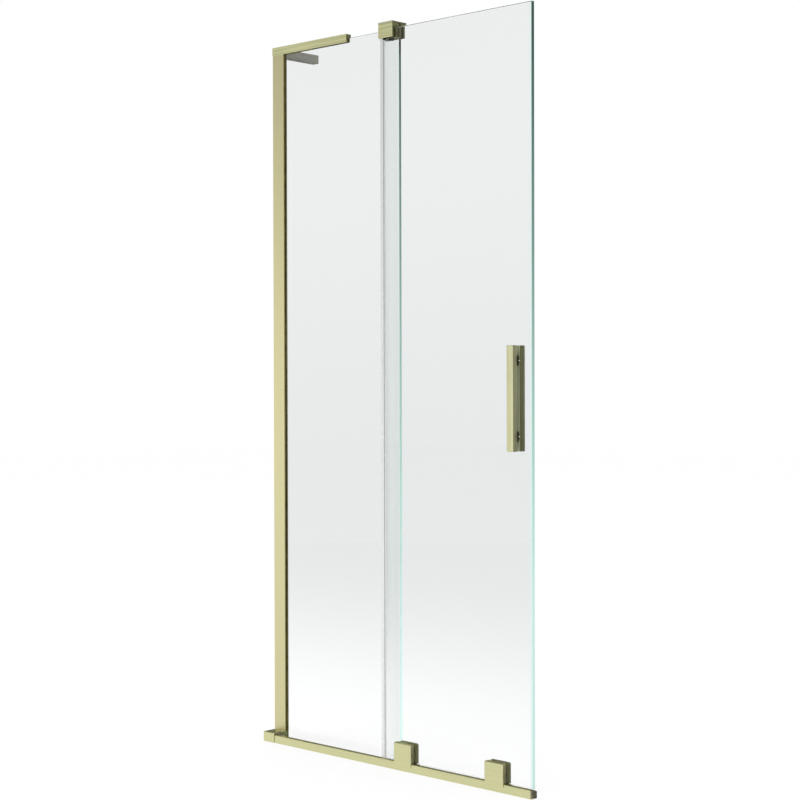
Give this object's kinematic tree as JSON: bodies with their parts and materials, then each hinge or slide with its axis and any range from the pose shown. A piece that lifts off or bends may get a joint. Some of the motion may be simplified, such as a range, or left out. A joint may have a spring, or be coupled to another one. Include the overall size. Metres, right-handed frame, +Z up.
{
  "type": "sliding bath screen",
  "caption": "Glass bath screen with a fixed pane in a wall profile and a sliding pane that rolls on a rim rail under a top guide, with a bar handle and a top wall brace.",
  "frame": {"origin": "middle of the rail's underside, on the bath rim", "axes": "+X along the rail away from the wall, +Y into the bath, +Z up"},
  "size_m": [0.75, 0.1627, 1.5144],
  "materials": {
    "gold_profile": "brushed, pale gold anodised",
    "gold_fitting": "brushed pale gold",
    "raw_aluminium": "mill finish",
    "clear_glass": "clear, ground edges",
    "clear_seal": "translucent",
    "black_rubber": "matt",
    "olive_rubber": "matt",
    "steel": "plain",
    "nylon": "smooth, black"
  },
  "bodies": {
    "frame": {"rail": "gold_profile", "glass_profile": "gold_profile", "brace_bar": "gold_profile", "brace_leg": "gold_profile", "rail_end_block": "gold_fitting", "rail_end_cap": "gold_fitting", "guide_block": "gold_fitting", "guide_clamp": "gold_fitting", "guide_cap": "gold_fitting", "wall_channel": "raw_aluminium", "fixed_pane": "clear_glass", "fixed_pane_seal": "clear_seal", "rail_gasket": "black_rubber", "glazing_gasket_front": "black_rubber", "glazing_gasket_back": "black_rubber", "brace_gasket": "black_rubber", "guide_pads": "black_rubber", "guide_bumper": "black_rubber", "rail_buffer": "olive_rubber", "rail_grub_screws": "steel", "profile_screws": "steel", "brace_dowel": "steel", "brace_set_screws": "steel", "guide_screws": "steel", "guide_liner": "nylon"},
    "door": {"sliding_pane": "clear_glass", "pane_seal": "clear_seal", "pane_stop": "clear_seal", "handle_outer": "gold_fitting", "handle_inner": "gold_fitting", "handle_rosettes": "nylon", "handle_sleeves": "nylon", "handle_pads": "black_rubber", "handle_bolts": "steel", "handle_foot_screws": "steel", "roller_block_left": "gold_fitting", "roller_block_right": "gold_fitting", "roller_clamp_left": "gold_fitting", "roller_clamp_right": "gold_fitting", "roller_gaskets_left": "olive_rubber", "roller_gaskets_right": "olive_rubber", "roller_screws_left": "steel", "roller_screws_right": "steel", "roller_axle_left": "steel", "roller_axle_right": "steel"},
    "roller_left": {"roller_tyre_left": "nylon", "roller_bearing_left": "steel"},
    "roller_right": {"roller_tyre_right": "nylon", "roller_bearing_right": "steel"}
  },
  "joints": [
    {"name": "door_slide", "type": "slide", "parent": "frame", "child": "door", "axis": [-1, 0, 0], "range_m": [0, 0.3136]},
    {"name": "roller_left_spin", "type": "hinge", "parent": "door", "child": "roller_left", "pos_m": [0.0422, -0.0048, 0.02775], "axis": [0, -1, 0], "range_deg": [0, 1700]},
    {"name": "roller_right_spin", "type": "hinge", "parent": "door", "child": "roller_right", "pos_m": [0.2834, -0.0048, 0.02775], "axis": [0, -1, 0], "range_deg": [0, 1700]}
  ],
  "couplings": [
    {"joint": "roller_left_spin", "follows": "door_slide", "rad_per_m": 90.909},
    {"joint": "roller_right_spin", "follows": "door_slide", "rad_per_m": 90.909}
  ]
}
